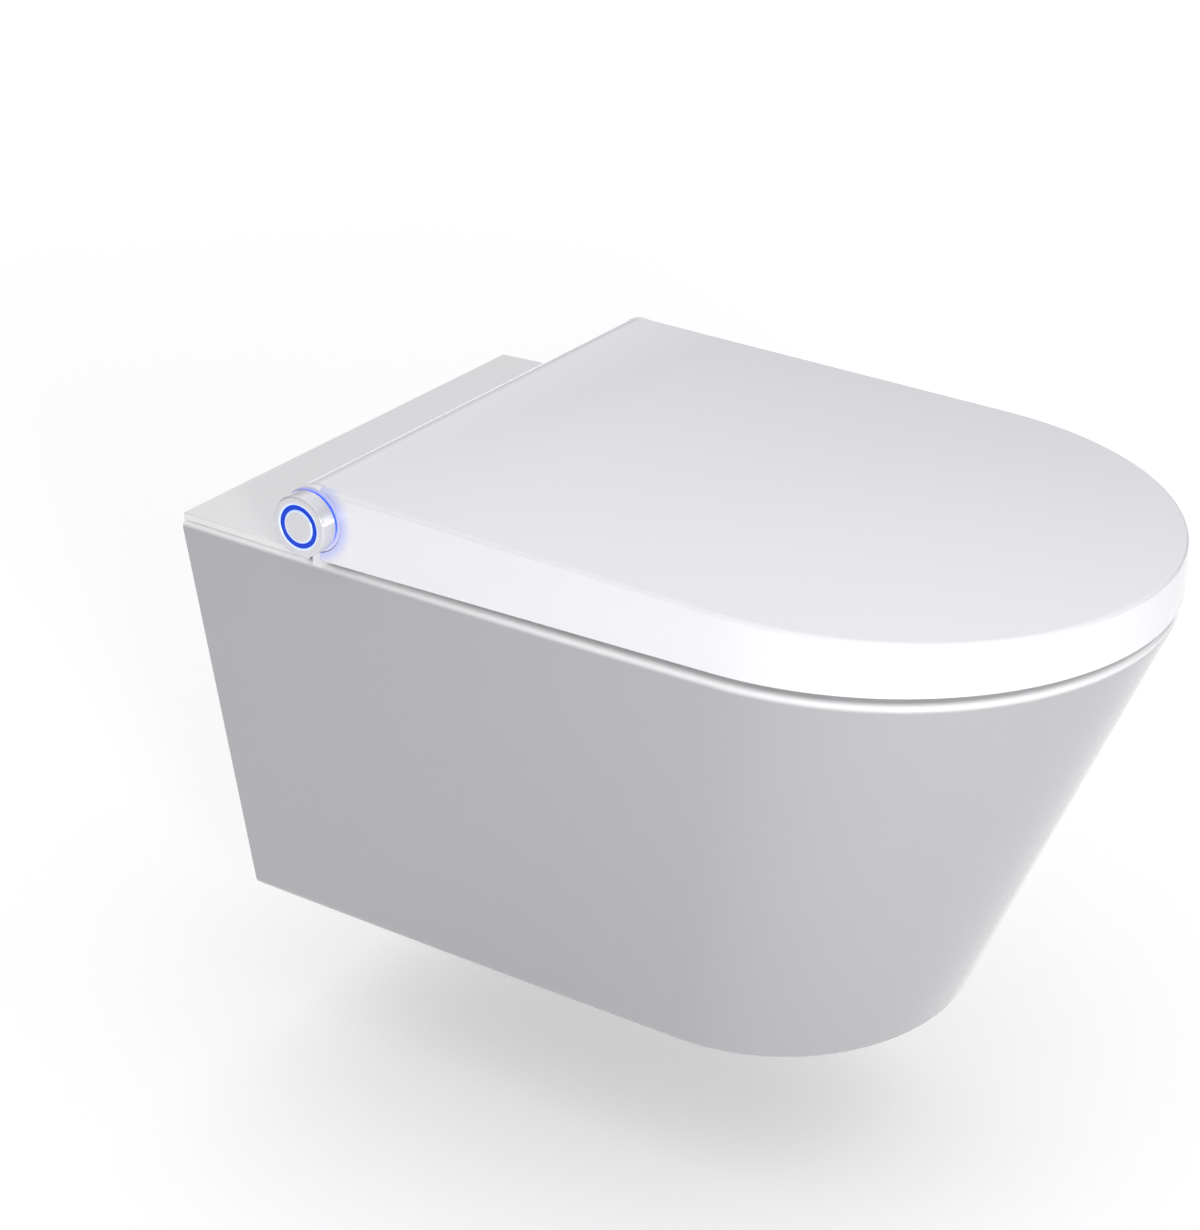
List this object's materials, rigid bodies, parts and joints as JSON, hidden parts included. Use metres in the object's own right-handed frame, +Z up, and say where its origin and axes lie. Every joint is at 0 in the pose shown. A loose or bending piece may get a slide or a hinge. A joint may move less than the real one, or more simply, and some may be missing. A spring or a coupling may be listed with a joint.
{
  "type": "electric bidet seat toilet",
  "caption": "Wall-hung ceramic toilet with a built-in electric bidet seat: hinged seat and lid, side control knob, wash nozzle and dryer.",
  "frame": {"origin": "on the wall plane, midway between the two fixing studs (mount wall_face)", "axes": "+Z up, +Y into the wall, the front points to -Y; +X is on the right of a person who faces the wall"},
  "size_m": [0.3934, 0.6, 0.3534],
  "materials": {
    "glazed_ceramic": "high gloss glaze",
    "lid_white": "high gloss",
    "seat_white": "gloss",
    "unit_white": "satin",
    "knob_pearl": "satin pearl",
    "blue_light": "lit ring",
    "white_light": "lit lens",
    "steel": "brushed",
    "rubber_grey": "matt",
    "black_plastic": "matt",
    "grey_plastic": "matt",
    "board_green": "solder mask",
    "brass": "machined",
    "heater_foil": "foil",
    "hose_clear": "smooth"
  },
  "bodies": {
    "base": {"base_gasket": "rubber_grey", "blower_housing": "grey_plastic", "blower_motor": "black_plastic", "cable_gland": "black_plastic", "ceramic_pan": "glazed_ceramic", "control_board": "board_green", "dryer_duct": "grey_plastic", "fixing_plug_left": "rubber_grey", "fixing_plug_right": "rubber_grey", "fixing_screw_left": "steel", "fixing_screw_right": "steel", "fixing_sleeve_left": "grey_plastic", "fixing_sleeve_right": "grey_plastic", "heater_hose": "hose_clear", "hinge_boss_left": "unit_white", "hinge_boss_right": "unit_white", "hinge_pin_left": "steel", "hinge_pin_right": "steel", "housing_cover": "unit_white", "inlet_fitting": "brass", "inlet_valve": "black_plastic", "knob_collar": "blue_light", "knob_encoder": "black_plastic", "lid_damper": "black_plastic", "night_light": "white_light", "nozzle_guide": "grey_plastic", "nozzle_hose": "hose_clear", "nozzle_motor": "black_plastic", "nozzle_port_seal": "rubber_grey", "odour_filter": "unit_white", "power_supply": "black_plastic", "rear_cover": "unit_white", "seat_base": "unit_white", "seat_damper": "black_plastic", "water_heater": "grey_plastic", "water_pump": "black_plastic"},
    "seat": {"seat_bottom_shell": "seat_white", "seat_bumper_front_left": "rubber_grey", "seat_bumper_front_right": "rubber_grey", "seat_bumper_rear_left": "rubber_grey", "seat_bumper_rear_right": "rubber_grey", "seat_heater": "heater_foil", "seat_top_shell": "seat_white"},
    "lid": {"lid_bumper_front_left": "rubber_grey", "lid_bumper_front_right": "rubber_grey", "lid_bumper_middle_left": "rubber_grey", "lid_bumper_middle_right": "rubber_grey", "lid_shell": "lid_white"},
    "knob": {"control_knob": "knob_pearl", "knob_light_ring": "blue_light", "knob_pointer": "white_light"},
    "button": {"knob_button": "knob_pearl"},
    "nozzle": {"nozzle_tip": "grey_plastic", "wash_nozzle": "steel"},
    "pinion": {"nozzle_pinion": "grey_plastic"},
    "flap": {"dryer_flap": "unit_white"},
    "fan": {"blower_impeller": "black_plastic"}
  },
  "joints": [
    {"name": "seat_hinge", "type": "hinge", "parent": "base", "child": "seat", "pos_m": [0, -0.118, 0.147], "axis": [-1, 0, 0], "range_deg": [0, 90]},
    {"name": "lid_hinge", "type": "hinge", "parent": "seat", "child": "lid", "pos_m": [0, -0.118, 0.147], "axis": [-1, 0, 0], "range_deg": [0, 93]},
    {"name": "knob_turn", "type": "hinge", "parent": "base", "child": "knob", "pos_m": [0, -0.118, 0.147], "axis": [-1, 0, 0], "continuous": true},
    {"name": "button_press", "type": "slide", "parent": "knob", "child": "button", "axis": [1, 0, 0], "range_m": [0, 0.0015], "stiffness_N_per_m": 800},
    {"name": "nozzle_slide", "type": "slide", "parent": "base", "child": "nozzle", "axis": [0, -0.9903, -0.1392], "range_m": [0, 0.1]},
    {"name": "pinion_turn", "type": "hinge", "parent": "base", "child": "pinion", "pos_m": [-0.0034, -0.15435, 0.09151], "axis": [0, -0.1392, 0.9903], "range_deg": [0, 640]},
    {"name": "flap_swing", "type": "hinge", "parent": "base", "child": "flap", "pos_m": [0.028, -0.214, 0.1065], "axis": [-1, 0, 0], "range_deg": [0, 75]},
    {"name": "fan_spin", "type": "hinge", "parent": "base", "child": "fan", "pos_m": [0.104, -0.092, 0.076], "axis": [0, 0, 1], "continuous": true}
  ],
  "couplings": [
    {"joint": "pinion_turn", "follows": "nozzle_slide", "rad_per_m": 111.11}
  ]
}
